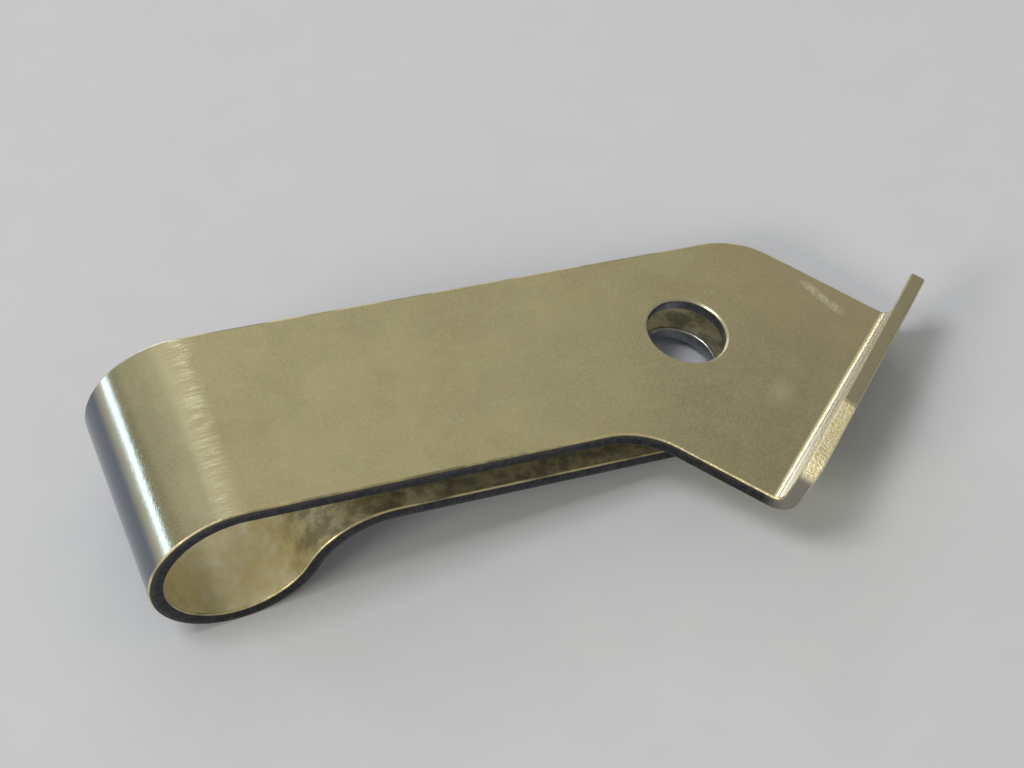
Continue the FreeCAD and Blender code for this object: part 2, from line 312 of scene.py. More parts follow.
# %% The rounded profile of a cut edge
def edge_profile(round_over, steps=4, wall=3):
    profile = []
    for step in range(steps + 1):
        turn = math.radians(90) * step / steps
        inset = round_over * (1 - math.sin(turn))
        drop = round_over * (1 - math.cos(turn))
        profile.append((inset, gauge - drop, math.sin(turn), math.cos(turn)))
    upper = list(profile)
    for step in range(1, wall):
        height = gauge - round_over - (gauge - 2 * round_over) * step / wall
        profile.append((0.0, height, 1.0, 0.0))
    for inset, height, out, up in reversed(upper):
        profile.append((inset, gauge - height, out, -up))
    return profile


# %% [markdown]
# The sheet between the rims needs points of its own, so that it can bend. They come from a
# plain grid. A grid point is used if it is in the metal, which a count of crossed edges
# tells, and if it isn't too near a rim, where it would make slivers.

# %% Find the grid points that are in the metal
from mathutils.kdtree import KDTree


def inside(point, ring):
    """True where a line to the right of the point crosses the ring an odd number of times."""
    odd = False
    for index, place in enumerate(ring):
        before = ring[index - 1]
        if (place.y > point.y) != (before.y > point.y):
            cross = place.x + (point.y - place.y) * (before.x - place.x) / (before.y - place.y)
            odd ^= point.x < cross
    return odd


def in_metal(point, rings):
    """True inside the first ring, the outline, and outside the others, the holes."""
    return inside(point, rings[0]) and not any(inside(point, ring) for ring in rings[1:])


def inner_points(candidates, rings, clear):
    """The candidates that are in the metal and not too near a rim."""
    tree = KDTree(sum(len(ring) for ring in rings))
    for number, place in enumerate(place for ring in rings for place in ring):
        tree.insert((place.x, place.y, 0), number)
    tree.balance()
    return [
        point for point in candidates
        if tree.find((point.x, point.y, 0))[2] > clear and in_metal(point, rings)
    ]


# %% [markdown]
# `form_blank` puts it together. It fills the outline with triangles between the rims and a
# grid of inner points, once for the top of the sheet and once for the bottom, and joins the
# two down every rim with the edge's profile. Each point is bent by the forming function as
# it is made, and remembers its place on the flat blank in an attribute called `blank`: the
# rolling grain and the scratches follow the flat sheet, and the finish uses that.
#
# The surface's direction at each point is worked out by bending too: the place a hair's
# breadth off the flat surface is bent as well, and the difference is the normal. That gives
# an exact shine across the joins between the pieces.

# %% Make a closed mesh from a blank
import bpy
from mathutils.geometry import delaunay_2d_cdt

HAIR = 0.01
FACE = 0
EDGE = 1
BORE = 2
RIM_ROUND = 0.26
HOLE_ROUND = 0.36


def form_blank(name, rims, candidates, forming, clear):
    """A bent, closed piece of sheet. rims are the outline and then the holes."""
    rounds = [RIM_ROUND] + [HOLE_ROUND] * (len(rims) - 1)
    blank = []
    facing = []

    def point(place, depth, normal):
        blank.append((place.x, place.y, depth))
        facing.append(normal)
        return len(blank) - 1

    face_rims = [
        [place + inward * round_over for place, inward in rim]
        for rim, round_over in zip(rims, rounds)
    ]
    flat = [place for rim in face_rims for place in rim]
    edges = []
    first = 0
    for rim in face_rims:
        edges += [(first + i, first + (i + 1) % len(rim)) for i in range(len(rim))]
        first += len(rim)
    flat += inner_points(candidates, face_rims, clear)
    filled = delaunay_2d_cdt([place.to_2d() for place in flat], edges, [], 1, SAME_PLACE)
    triangles = []
    for face in filled[2]:
        corners = [filled[3][corner][0] for corner in face]
        middle = sum((flat[corner] for corner in corners), Vector((0, 0))) / 3
        if in_metal(middle, face_rims):
            triangles.append(corners)

    top = [point(place, gauge, (0, 0, 1)) for place in flat]
    bottom = [point(place, 0.0, (0, 0, -1)) for place in flat]
    faces = [[top[corner] for corner in face] for face in triangles]
    faces += [[bottom[corner] for corner in reversed(face)] for face in triangles]
    finishes = [FACE] * len(faces)

    first = 0
    for rim, round_over in zip(rims, rounds):
        count = len(rim)
        finish = EDGE if rim is rims[0] else BORE
        profile = edge_profile(round_over)
        rings = [top[first:first + count]]
        for inset, height, out, up in profile[1:-1]:
            ring = []
            for place, inward in rim:
                normal = (-inward.x * out, -inward.y * out, up)
                ring.append(point(place + inward * inset, height, normal))
            rings.append(ring)
        rings.append(bottom[first:first + count])
        for above, below in zip(rings, rings[1:]):
            for i in range(count):
                j = (i + 1) % count
                faces.append([above[i], below[i], below[j], above[j]])
                finishes.append(finish)
        first += count

    formed = [forming(*place) for place in blank]
    normals = []
    for place, toward, bent in zip(blank, facing, formed):
        hair = Vector(place) + Vector(toward) * HAIR
        normal = forming(*hair) - bent
        normals.append(tip_over @ unit(normal) if normal.length else tip_over @ Vector((0, 0, 1)))

    mesh = bpy.data.meshes.new(name)
    mesh.from_pydata([tip_over @ place / METRE for place in formed], [], faces)
    mesh.polygons.foreach_set("use_smooth", [True] * len(faces))
    mesh.polygons.foreach_set("material_index", finishes)
    memory = mesh.attributes.new("blank", "FLOAT_VECTOR", "POINT")
    memory.data.foreach_set("vector", [number for place in blank for number in place])
    mesh.normals_split_custom_set_from_vertices(normals)
    mesh.update()
    piece = bpy.data.objects.new(name, mesh)
    bpy.context.scene.collection.objects.link(piece)
    print(f"{name}: {len(blank)} points, {len(faces)} faces")
    return piece


# %% [markdown]
# ## The upper leaf
#
# The upper leaf runs flat from the eye to the bolt hole, turns sideways there into a wider
# tab, and ends in the flange. Its two turning corners have the same radius. The corner's
# place is where the strip's straight side would meet the tab's straight side.

# %% Lay out the upper leaf's blank
def kink_corner(across, side):
    """Where a side of the strip would meet a side of the tab."""
    out = (across - side * math.cos(kink)) / -math.sin(kink)
    return blank_place(out, side)


near_kink = kink_corner(-half, -tab_near)
far_kink = kink_corner(half, tab_far)
near_tip = blank_place(flange_end, -tab_near)
far_foot = blank_place(bend_reach, tab_far)
far_foot_round = 1.5
far_tip = blank_place(flange_end, tab_far + flange_flare)
upper_corners = [
    (0.0, half, 0.0, True),
    (0.0, -half, 0.0, False),
    (near_kink.x, near_kink.y, kink_radius, False),
    (near_tip.x, near_tip.y, flange_near_round, False),
    (far_tip.x, far_tip.y, flange_far_round, False),
    (far_foot.x, far_foot.y, far_foot_round, False),
    (far_kink.x, far_kink.y, kink_radius, False),
]
upper_rim = with_inward(trace(upper_corners, 0.5), upper_corners)
bolt_ring = hole_ring(Vector((hole_reach, 0)), hole_radius)
print(f"the upper leaf's outline has {len(upper_rim)} points")

# %% [markdown]
# Its inner points are a plain grid on the flat, and rows parallel to the bend across the
# flange, close together where the sheet turns, so that the bend comes out smooth.

# %% Inner points and the finished upper leaf
LEAF_STEP = 0.95
FLANGE_STEP = 0.5
STRAIGHT_STEP = 0.8
BEND_STEP_DEGREES = 6

columns = math.ceil(far_tip.x / LEAF_STEP)
rows = math.ceil(-near_tip.y / LEAF_STEP)
leaf_grid = []
for column in range(1, columns):
    for row in range(-rows, rows + 1):
        spot = Vector((column * LEAF_STEP, row * LEAF_STEP))
        if tab_place(*spot)[0] < bend_reach - 0.4:
            leaf_grid.append(spot)
bend_angles = range(0, 91, BEND_STEP_DEGREES)
bend_rows = [bend_reach + bend_middle * math.radians(angle) for angle in bend_angles]
straight_rows = [bend_rows[-1] + STRAIGHT_STEP * count for count in range(1, 7)]
flange_columns = math.ceil((tab_near + tab_far + flange_flare) / FLANGE_STEP)
for out in [bend_reach - 0.3] + bend_rows + straight_rows:
    for column in range(flange_columns):
        leaf_grid.append(blank_place(out, -tab_near + FLANGE_STEP / 2 + FLANGE_STEP * column))
upper_rims = [upper_rim, bolt_ring]
upper_leaf = form_blank("upper_leaf_formed", upper_rims, leaf_grid, turn_up_flange, clear=0.2)

# %% [markdown]
# ## The rolled eye
#
# The eye is the stretch of strip that was rolled round a rod. It is the only part that
# flexes in use. Its blank is a plain rectangle, joined to a leaf at both ends, with rows of
# points close enough together that the roll looks round.

# %% Lay out and roll the eye
EYE_STEPS = 150
ACROSS_STEP = 0.9
across_rows = range(-int(half / ACROSS_STEP), int(half / ACROSS_STEP) + 1)


def strip_blank(start, end, steps):
    """A stretch of strip between two runs, joined at both ends, and its inner points."""
    corners = [
        (end, -half, 0.0, False),
        (start, -half, 0.0, True),
        (start, half, 0.0, False),
        (end, half, 0.0, True),
    ]
    return corners, [
        Vector((start + (end - start) * column / steps, row * ACROSS_STEP))
        for column in range(1, steps)
        for row in across_rows
    ]


eye_corners, eye_grid = strip_blank(0.0, eye_run, EYE_STEPS)
eye_rim = with_inward(trace(eye_corners, -eye_run / EYE_STEPS), eye_corners)
rolled_eye = form_blank("rolled_eye_formed", [eye_rim], eye_grid, roll_strip, clear=0.1)

# %% [markdown]
# ## The neck and the lower leaf
#
# Past the eye the strip turns back the other way round a neck and runs flat under the upper
# leaf. Its end has two small rounded corners, and its bolt hole lines up with the upper one.

# %% Lay out and bend the lower leaf
NECK_STEPS = 44


def lower_run(reach):
    """The run at a distance from the eye's axis along the lower leaf."""
    return neck_run - (reach - neck_centre.x)


lower_corners = [
    (eye_run, -half, 0.0, True),
    (eye_run, half, 0.0, False),
    (tip_run, half, tip_round, False),
    (tip_run, -half, tip_round, False),
]
lower_rim = with_inward(trace(lower_corners, 0.4), lower_corners)
lower_ring = hole_ring(Vector((lower_run(hole_reach), 0)), hole_radius)
flat_steps = int((neck_run - tip_run) / ACROSS_STEP)
neck_rows = [eye_run + (neck_run - eye_run) * step / NECK_STEPS for step in range(1, NECK_STEPS + 1)]
flat_rows = [neck_run - ACROSS_STEP * step for step in range(1, flat_steps + 1)]
lower_grid = [
    Vector((run, row * ACROSS_STEP))
    for run in neck_rows + flat_rows
    for row in across_rows
]
lower_rims = [lower_rim, lower_ring]
lower_leaf = form_blank("lower_leaf_formed", lower_rims, lower_grid, roll_strip, clear=0.15)

# %% [markdown]
# ## Join the pieces to the frame
#
# Each piece stands for one node of the imported model. The two leaves are stiff and ride on
# their own bodies. The eye stays where it lies and rides on neither.

# %% Ride and replace
neck_end_level = min(roll_strip(eye_run, 0, 0).z, roll_strip(eye_run, 0, gauge).z)
blend_start = tip_over @ Vector((0, 0, neck_end_level + gauge)) / METRE
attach(upper_leaf, "upper_leaf_and_flange")
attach(lower_leaf, "eye_and_lower_leaf")
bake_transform(rolled_eye)
for piece, node in ((upper_leaf, "upper_leaf"), (lower_leaf, "lower_leaf"), (rolled_eye, "rolled_eye")):
    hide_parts(node)
    print(piece.name, "stands for", node)

# %% [markdown]
# ## Writing a finish as sums
#
# A finish is a graph of nodes, and most of its nodes only add, multiply or compare. It
# reads better as ordinary sums. `Wire` stands for one output of a node, and a sum on it adds
# the Math node that does that sum. `Finish` makes every other node with one method: the
# kind of node, its settings, and what goes into its sockets.

# %% Sums on wires
class Wire:
    """One output socket in a finish. Sums on it add Math nodes."""

    def __init__(self, finish, socket):
        self.finish = finish
        self.socket = socket

    def maths(self, operation, *values):
        inputs = dict(enumerate(values))
        return self.finish.node("ShaderNodeMath", {"operation": operation}, inputs)

    def __add__(self, other):
        return self.maths("ADD", self, other)

    def __sub__(self, other):
        return self.maths("SUBTRACT", self, other)

    def __rsub__(self, other):
        return self.maths("SUBTRACT", other, self)

    def __mul__(self, other):
        return self.maths("MULTIPLY", self, other)

    __radd__ = __add__
    __rmul__ = __mul__


class Finish:
    """A material, and the one way in which its nodes are made."""

    def __init__(self, name):
        self.material = bpy.data.materials.new(name)
        self.material.use_nodes = True
        self.tree = self.material.node_tree
        self.tree.nodes.clear()

    def node(self, kind, settings=None, inputs=None, out=0):
        made = self.tree.nodes.new(kind)
        for name, value in (settings or {}).items():
            setattr(made, name, value)
        for name, value in (inputs or {}).items():
            if isinstance(value, Wire):
                self.tree.links.new(value.socket, made.inputs[name])
            else:
                made.inputs[name].default_value = value
        return None if out is None else Wire(self, made.outputs[out])


# %% [markdown]
# A few kinds of node are used again and again, so they get names of their own: the place on
# the flat blank, noise stretched along or across it, a soft step, and a mix of two colours.

# %% Everyday nodes
def blank_place_of(finish):
    """The place on the flat blank: the whole vector, then run, across and depth."""
    place = finish.node("ShaderNodeAttribute", {"attribute_name": "blank"}, out="Vector")
    parts = [finish.node("ShaderNodeSeparateXYZ", {}, {"Vector": place}, out=axis) for axis in "XYZ"]
    return place, *parts


def noise(finish, place, scales, detail=3.0, rough=0.55, shift=(0.0, 0.0, 0.0)):
    """Noise with so many lumps to the millimetre along, across and through the sheet."""
    stretched = finish.node(
        "ShaderNodeVectorMath", {"operation": "MULTIPLY_ADD"}, {0: place, 1: scales, 2: shift})
    return finish.node(
        "ShaderNodeTexNoise", {},
        {"Vector": stretched, "Scale": 1.0, "Detail": detail, "Roughness": rough})


def soft_step(finish, value, low, high):
    """Nought below low, one above high, and a smooth rise between. High may be the lower one."""
    return finish.node(
        "ShaderNodeMapRange", {"interpolation_type": "SMOOTHSTEP"},
        {"Value": value, "From Min": low, "From Max": high})


def mix(finish, share, first, second):
    """A colour between two colours."""
    return finish.node("ShaderNodeMix", {"data_type": "RGBA"}, {0: share, 6: first, 7: second}, out=2)


def shade(red, green, blue):
    return (red, green, blue, 1.0)


# %% [markdown]
# ## The plated faces
#
# Zinc plate on sheet steel is a satin metal. Close up it is not even: the steel's rolling
# grain runs along the strip, the plating is cloudy, and tumbling in the bath leaves a fine
# grain that sparkles in a highlight. It could be painted by hand, but noises of several
# sizes, laid on the flat blank, give all of that and follow every bend.
#
# Some places have their own look, so each gets a mask that is one there and nought
# elsewhere. A mask is a band along the strip or across it. The distances are those of the
# flat blank, so a mask stays in its place through every bend.

# %% Masks for the special places
def band(finish, value, low, high, soft):
    """One between low and high, and nought outside, with soft sides."""
    above = soft_step(finish, value, low - soft, low + soft)
    below = soft_step(finish, value, high + soft, high - soft)
    return above * below


def tab_axes(finish, run, across):
    """Distances from the bolt hole square to the flange's bend and along it."""
    from_hole = run - hole_reach
    out = from_hole * outward.x + across * outward.y
    side = from_hole * sideways.x + across * sideways.y
    return out, side


def scratch(finish, run, across, start, end, wide):
    """A thin scratch between two places given from the bolt hole."""
    out, side = tab_axes(finish, run, across)
    length = math.dist(start, end)
    direction = ((end[0] - start[0]) / length, (end[1] - start[1]) / length)
    along = (out - start[0]) * direction[0] + (side - start[1]) * direction[1]
    off = (side - start[1]) * direction[0] - (out - start[0]) * direction[1]
    return band(finish, along, 0.0, length, 0.8) * band(finish, off, -wide / 2, wide / 2, wide / 2)


# %% Noise for the plated face
plated = Finish("plated_face")
place, run, across, depth = blank_place_of(plated)
cloud = noise(plated, place, (0.16, 0.16, 0.4), detail=5.0, rough=0.6)
stain = noise(plated, place, (0.09, 0.13, 0.3), detail=5.0, rough=0.62, shift=(4.0, 11.0, 0.0))
patch = noise(plated, place, (0.5, 0.5, 0.5), detail=4.0, rough=0.65, shift=(7.0, 3.0, 0.0))
grain = noise(plated, place, (3.4, 3.4, 1.0), detail=3.0, rough=0.6)
sparkle = noise(plated, place, (7.0, 7.0, 1.0), detail=1.0, rough=0.5, shift=(0.0, 9.0, 0.0))
rolling = noise(plated, place, (0.12, 3.0, 0.5), detail=4.0, rough=0.6)
drag = noise(plated, place, (0.42, 3.2, 0.5), detail=5.0, rough=0.7, shift=(2.0, 0.0, 0.0))
speck = soft_step(plated, sparkle, 0.66, 0.74)
print(f"place and noises take {len(plated.tree.nodes)} nodes")

# %% [markdown]
# Where the roll starts, the rolling tool dragged on the sheet and left short bright marks
# along the strip. Its line was not quite square to the strip. Just past the start, a lighter
# band is partly scuffed plate and partly a painted highlight. Further round, the roll's
# outside is smoother, and its colour is painted darker and bluer, a painted reflection. The
# inside of the eye is gold and patchy, partly the plate and partly a painted warm reflection.
# It is painted darker under the leaf, a painted shade, and at the neck, partly painted shade
# and partly stain, and the lower leaf's face between the leaves is stained.

# %% Where the strip's special places are
outer_side = soft_step(plated, depth, 0.4 * gauge, 0.6 * gauge)
inner_side = 1 - outer_side
tool_line = run - across * 0.07 + (patch - 0.5) * 2.6
# partly scuffed plate, partly a painted highlight: a lighter band just round the roll's start
roll_painted_highlight = band(plated, run, -3.6, -0.8, 1.4) * outer_side
roll_start = band(plated, tool_line, -2.1, -0.4, 1.0) * outer_side
drag_marks = soft_step(plated, drag, 0.42, 0.64) * roll_start
roll_polish = soft_step(plated, run, -4.0, -6.5) * outer_side
# painted reflection: the roll's outside is painted darker and bluer
roll_outside_painted_reflection = soft_step(plated, run, -8.6, -10.6) * outer_side
in_eye = inner_side * band(plated, run, neck_run - 3.0, 0.5, 3.0)
# painted shade: the eye's inside under the upper leaf
painted_shade_under_leaf = soft_step(plated, run + (patch - 0.5) * 4.0, -7.0, -1.0)
# at the neck: partly painted shade, partly stain
neck_painted_shade_and_stain = soft_step(plated, run + (patch - 0.5) * 6.0, eye_run + 3.0, eye_run - 3.0)
between_leaves = inner_side * soft_step(plated, run, neck_run + 1.0, neck_run - 3.0)
print(f"with the strip's masks there are {len(plated.tree.nodes)} nodes")

# %% [markdown]
# The tab is a little browner towards its far side and darker towards its near side. It has
# a pale scratch near its far side and a smudge near the flange. The line of the flange's
# bend is a painted highlight, and the flange's inner face is painted whiter towards the near
# end, also a painted highlight.

# %% Where the tab's special places are
SCRATCH_START = (7.6, 14.2)
SCRATCH_END = (12.6, 12.8)
SCRATCH_WIDE = 0.8

out, side = tab_axes(plated, run, across)
on_tab = soft_step(plated, out, -5.0, 5.0) * outer_side
tab_near_part = soft_step(plated, side, 5.0, -8.0) * on_tab
tab_far_part = soft_step(plated, side, 1.0, 13.0) * soft_step(plated, out, -6.0, 6.0) * outer_side
tab_scratch = scratch(plated, run, across, SCRATCH_START, SCRATCH_END, SCRATCH_WIDE) * outer_side
tab_scratch = tab_scratch * soft_step(plated, grain, 0.3, 0.6)
tab_smudge = band(plated, out, 11.0, 12.5, 1.2) * band(plated, side, -3.0, -0.5, 1.4) * outer_side
# the flange's inner face and bend line; their colours below are painted highlights
flange_inside = soft_step(plated, out, bend_reach + 0.7, bend_reach + 1.5) * outer_side
bend_highlight_line = band(plated, out, bend_reach + 0.1, bend_reach + 0.5, 0.25) * outer_side
print(f"with the tab's masks there are {len(plated.tree.nodes)} nodes")

# %% [markdown]
# The colours go on in layers, like washes: first the khaki of the plain plate with its
# clouds, stains and flecks, then the eye's gold, then the marks on top. Each layer is mixed
# in by noise or by a mask.

# %% The plated face's colours
khaki = mix(plated, soft_step(plated, cloud, 0.3, 0.7), shade(0.51, 0.48, 0.325), shade(0.61, 0.57, 0.375))
khaki = mix(plated, soft_step(plated, patch, 0.35, 0.75) * 0.5, khaki, shade(0.54, 0.52, 0.36))
khaki = mix(plated, soft_step(plated, rolling, 0.35, 0.75) * 0.12, khaki, shade(0.63, 0.60, 0.44))
khaki = mix(plated, soft_step(plated, stain, 0.50, 0.72) * 0.5, khaki, shade(0.52, 0.44, 0.29))
khaki = mix(plated, soft_step(plated, patch, 0.40, 0.68) * on_tab * 0.4, khaki, shade(0.46, 0.43, 0.30))
khaki = mix(plated, tab_near_part * 0.3, khaki, shade(0.42, 0.41, 0.29))
khaki = mix(plated, soft_step(plated, grain, 0.35, 0.7) * 0.3, khaki, shade(0.70, 0.66, 0.47))
khaki = mix(plated, speck * 0.4, khaki, shade(0.90, 0.88, 0.80))
# painted highlight, partly scuff: the lighter band at the roll's start
khaki = mix(plated, roll_painted_highlight * 0.5, khaki, shade(0.88, 0.84, 0.62))
stained = mix(
    plated, soft_step(plated, patch, 0.40, 0.60), shade(0.32, 0.32, 0.27), shade(0.70, 0.67, 0.52))
khaki = mix(plated, between_leaves * 0.85, khaki, stained)
# painted reflection: darker, bluer colour on the roll's outside
khaki = mix(plated, roll_outside_painted_reflection * 0.9, khaki, shade(0.115, 0.14, 0.20))
# The eye's inside: gold, patchy plate, painted brighter as a painted warm reflection.
gold_with_painted_light = mix(plated, soft_step(plated, patch, 0.3, 0.7), shade(0.86, 0.78, 0.50), shade(1.0, 0.98, 0.86))
gold_with_painted_light = mix(plated, soft_step(plated, cloud, 0.42, 0.6) * 0.5, gold_with_painted_light, shade(0.93, 0.83, 0.54))
# painted shade: darker inside the eye under the upper leaf
gold_with_painted_light = mix(plated, painted_shade_under_leaf * 0.75, gold_with_painted_light, shade(0.42, 0.38, 0.27))
# partly painted shade and partly stain at the neck
gold_with_painted_light = mix(plated, neck_painted_shade_and_stain * 0.85, gold_with_painted_light, stained)
colour = mix(plated, in_eye, khaki, gold_with_painted_light)
colour = mix(plated, drag_marks * 0.85, colour, shade(0.96, 0.93, 0.75))
colour = mix(plated, tab_far_part * 0.45, colour, shade(0.74, 0.63, 0.44))
colour = mix(plated, tab_scratch * 0.85, colour, shade(0.95, 0.92, 0.82))
colour = mix(plated, tab_smudge * patch, colour, shade(0.86, 0.82, 0.66))
# painted highlight: the flange's inner face is painted whiter towards the near end
pale = mix(plated, soft_step(plated, side, 2.0, -tab_near), shade(0.60, 0.58, 0.56), shade(1.0, 0.99, 1.0))
colour = mix(plated, flange_inside * 0.85, colour, pale)
# painted highlight along the flange's bend
colour = mix(plated, bend_highlight_line * 0.8, colour, shade(1.0, 0.95, 0.76))
print(f"with the colours there are {len(plated.tree.nodes)} nodes")

# %% [markdown]
# Rough places spread a reflection and smooth ones keep it sharp. Rubbing, stains and
# scratches roughen the plate, and the rolling tool smoothed it. The bump is a fine grain,
# deeper in the drag marks and inside the eye. `calm` keeps most of the grain off the
# flange's bend and its inner face, which shine evenly.

# %% The plated face's shine
roughness = 0.15 + grain * 0.08 + cloud * 0.05 - roll_polish * 0.07
roughness = roughness + in_eye * 0.25 + between_leaves * 0.35 + drag_marks * 0.10
roughness = roughness + flange_inside * 0.08 + tab_scratch * 0.15
calm = (1 - flange_inside * 0.85) * (1 - bend_highlight_line * 0.7)
height = (grain * 0.6 + sparkle * 0.45 + rolling * 0.3) * calm
height = height + drag * roll_start * 1.8 + patch * in_eye * 3.0
bumped = plated.node("ShaderNodeBump", {}, {"Strength": 0.55, "Distance": 0.00003, "Height": height})
face_shader = plated.node(
    "ShaderNodeBsdfPrincipled", {},
    {"Base Color": colour, "Metallic": 1.0, "Roughness": roughness, "Normal": bumped})
plated.node("ShaderNodeOutputMaterial", {}, {"Surface": face_shader}, out=None)
print(f"the plated face has {len(plated.tree.nodes)} nodes")

# %% [markdown]
# ## The cut edges
#
# A punched edge is a smooth burnished band at the side where the punch came in, and a torn,
# dull band below it. Plating hardly brightens the torn part, and it is painted dark grey:
# partly dull torn steel, partly a painted dark reflection. The rounded rim is painted as a
# thin gold line that comes and goes, a painted highlight, and a whiter painted highlight runs
# along the far side near the eye. The flange's top edge is lighter, its near half is rough
# and painted with a bright gold sparkle, a painted reflection, and its near end is plain grey.

# %% Where the cut edge changes
cut = Finish("cut_edge")
place, run, across, depth = blank_place_of(cut)
out, side = tab_axes(cut, run, across)
tear = noise(cut, place, (2.6, 2.6, 1.1), detail=4.0, rough=0.65)
nick = noise(cut, place, (6.0, 6.0, 3.0), detail=2.0, rough=0.6, shift=(5.0, 0.0, 0.0))
glint = noise(cut, place, (0.20, 0.20, 0.3), detail=3.0, rough=0.6, shift=(1.0, 6.0, 0.0))
# the rounded rim; its gold colour below is a painted highlight
rim = 1 - band(cut, depth, 0.12, gauge - 0.12, 0.06)
rim = rim * (soft_step(cut, glint, 0.36, 0.60) * 0.6 + 0.4)
# painted highlight: the far rim near the eye
far_rim_painted_highlight = rim * soft_step(cut, across, 9.8, 10.4) * soft_step(cut, run, 1.5, -1.5)
burnished = soft_step(cut, depth + tear * 0.5, gauge * 0.72, gauge * 0.95)
flange_top = soft_step(cut, out, flange_end - 2.6, flange_end - 1.2)
flange_end_face = soft_step(cut, out, bend_reach - 1.0, bend_reach + 1.5)
flange_end_face = flange_end_face * soft_step(cut, side, -12.0, -13.4)
# the rough near half of the flange's top, with a painted sparkle
painted_sparkle_patch = flange_top * soft_step(cut, side + (tear - 0.5) * 1.6, -4.4, -5.2)
print(f"the edge's noises and masks take {len(cut.tree.nodes)} nodes")

# %% [markdown]
# The edge's colours go on in layers too: the torn steel first, then the burnished band, the
# flange's grey end, the rim's thin gold and the far rim's white, both painted highlights, and
# the flange's lighter top with its painted sparkle. The bump is the tearing itself, with
# deeper nicks in the rough near half of the flange's top. The bump is the
# tearing itself, with deeper nicks where the edge was ground.

# %% The cut edge's colours and shine
# partly dull torn steel, partly a painted dark reflection
torn_dark = shade(0.022, 0.024, 0.032)
torn_light = shade(0.062, 0.063, 0.069)
torn = mix(cut, soft_step(cut, tear, 0.3, 0.7), torn_dark, torn_light)
edge_colour = mix(cut, burnished * 0.4, torn, shade(0.13, 0.125, 0.115))
edge_colour = mix(cut, flange_end_face * 0.85, edge_colour, shade(0.34, 0.33, 0.29))
# painted highlight: the rounded rim is painted as a thin gold line that comes and goes
edge_colour = mix(cut, rim * 0.9, edge_colour, shade(0.90, 0.80, 0.50))
# painted highlight: the far rim near the eye is painted nearly white
edge_colour = mix(cut, far_rim_painted_highlight * 0.85, edge_colour, shade(1.0, 0.94, 0.90))
edge_colour = mix(cut, flange_top * 0.85, edge_colour, shade(0.52, 0.49, 0.36))
# painted reflection: a bright gold sparkle on the flange's top, over rough metal
painted_sparkle_colour = mix(cut, soft_step(cut, nick, 0.3, 0.55), shade(0.88, 0.70, 0.32), shade(1.0, 0.97, 0.76))
edge_colour = mix(cut, painted_sparkle_patch, edge_colour, painted_sparkle_colour)
edge_rough = 0.42 + tear * 0.16 - rim * 0.14 + painted_sparkle_patch * 0.05
edge_height = tear + nick * 0.5 + painted_sparkle_patch * nick * 5.0
edge_bump = cut.node(
    "ShaderNodeBump", {}, {"Strength": 0.7, "Distance": 0.00006, "Height": edge_height})
edge_shader = cut.node(
    "ShaderNodeBsdfPrincipled", {},
    {"Base Color": edge_colour, "Metallic": 1.0, "Roughness": edge_rough, "Normal": edge_bump})
cut.node("ShaderNodeOutputMaterial", {}, {"Surface": edge_shader}, out=None)
print(f"the cut edge has {len(cut.tree.nodes)} nodes")

# %% [markdown]
# ## The bolt hole's wall
#
# The punch that made the hole rubbed its wall smooth, and the plating took well there, so
# the wall is a cool grey metal with fine lines down it, under a rounded, bright rim.

# %% The hole wall's finish
bore = Finish("punched_bore")
place, run, across, depth = blank_place_of(bore)
lines = noise(bore, place, (5.0, 5.0, 0.5), detail=3.0, rough=0.6)
haze = noise(bore, place, (0.8, 0.8, 0.8), detail=3.0, rough=0.6, shift=(3.0, 0.0, 0.0))
bore_rim = soft_step(bore, depth, gauge - 0.26, gauge - 0.10)
rubbed = mix(bore, soft_step(bore, haze, 0.3, 0.7), shade(0.22, 0.235, 0.25), shade(0.38, 0.40, 0.43))
bore_colour = mix(bore, soft_step(bore, lines, 0.45, 0.7) * 0.4, rubbed, shade(0.50, 0.50, 0.50))
bore_colour = mix(bore, bore_rim * 0.9, bore_colour, shade(0.66, 0.62, 0.46))
bore_bump = bore.node("ShaderNodeBump", {}, {"Strength": 0.6, "Distance": 0.00003, "Height": lines})
bore_rough = 0.26 + haze * 0.1
bore_shader = bore.node(
    "ShaderNodeBsdfPrincipled", {},
    {"Base Color": bore_colour, "Metallic": 1.0, "Roughness": bore_rough, "Normal": bore_bump})
bore.node("ShaderNodeOutputMaterial", {}, {"Surface": bore_shader}, out=None)
print(f"the bore has {len(bore.tree.nodes)} nodes")

# %% [markdown]
# Each piece gets all three finishes, in this order. Its faces were numbered 0 for a sheet's
# face, 1 for a cut edge and 2 for the hole's wall when it was formed.

# %% Give the pieces their finishes
for piece in (upper_leaf, rolled_eye, lower_leaf):
    for finish in (plated, cut, bore):
        piece.data.materials.append(finish.material)
print("finishes on each piece:", [slot.name for slot in upper_leaf.data.materials])

# %% [markdown]
# ## The table
#
# The clip lies on a plain pale table, big enough that its edge is never seen.

# %% A plain pale table
TABLE_SIZE = 12.0
TABLE_GAP = 0.00002

table_mesh = bpy.data.meshes.new("table")
reach = TABLE_SIZE / 2
table_mesh.from_pydata(
    [(-reach, -reach, 0), (reach, -reach, 0), (reach, reach, 0), (-reach, reach, 0)], [], [(0, 1, 2, 3)])
table = bpy.data.objects.new("table", table_mesh)
table.location.z = floor_level / METRE - TABLE_GAP
bpy.context.scene.collection.objects.link(table)
paper = Finish("pale_table")
spot = paper.node("ShaderNodeTexCoord", out="Object")
mottle = paper.node("ShaderNodeTexNoise", {}, {"Vector": spot, "Scale": 180.0, "Detail": 4.0})
paper_colour = mix(paper, mottle, shade(0.60, 0.64, 0.76), shade(0.64, 0.68, 0.80))
paper_shader = paper.node(
    "ShaderNodeBsdfPrincipled", {}, {"Base Color": paper_colour, "Roughness": 0.8})
paper.node("ShaderNodeOutputMaterial", {}, {"Surface": paper_shader}, out=None)
table_mesh.materials.append(paper.material)

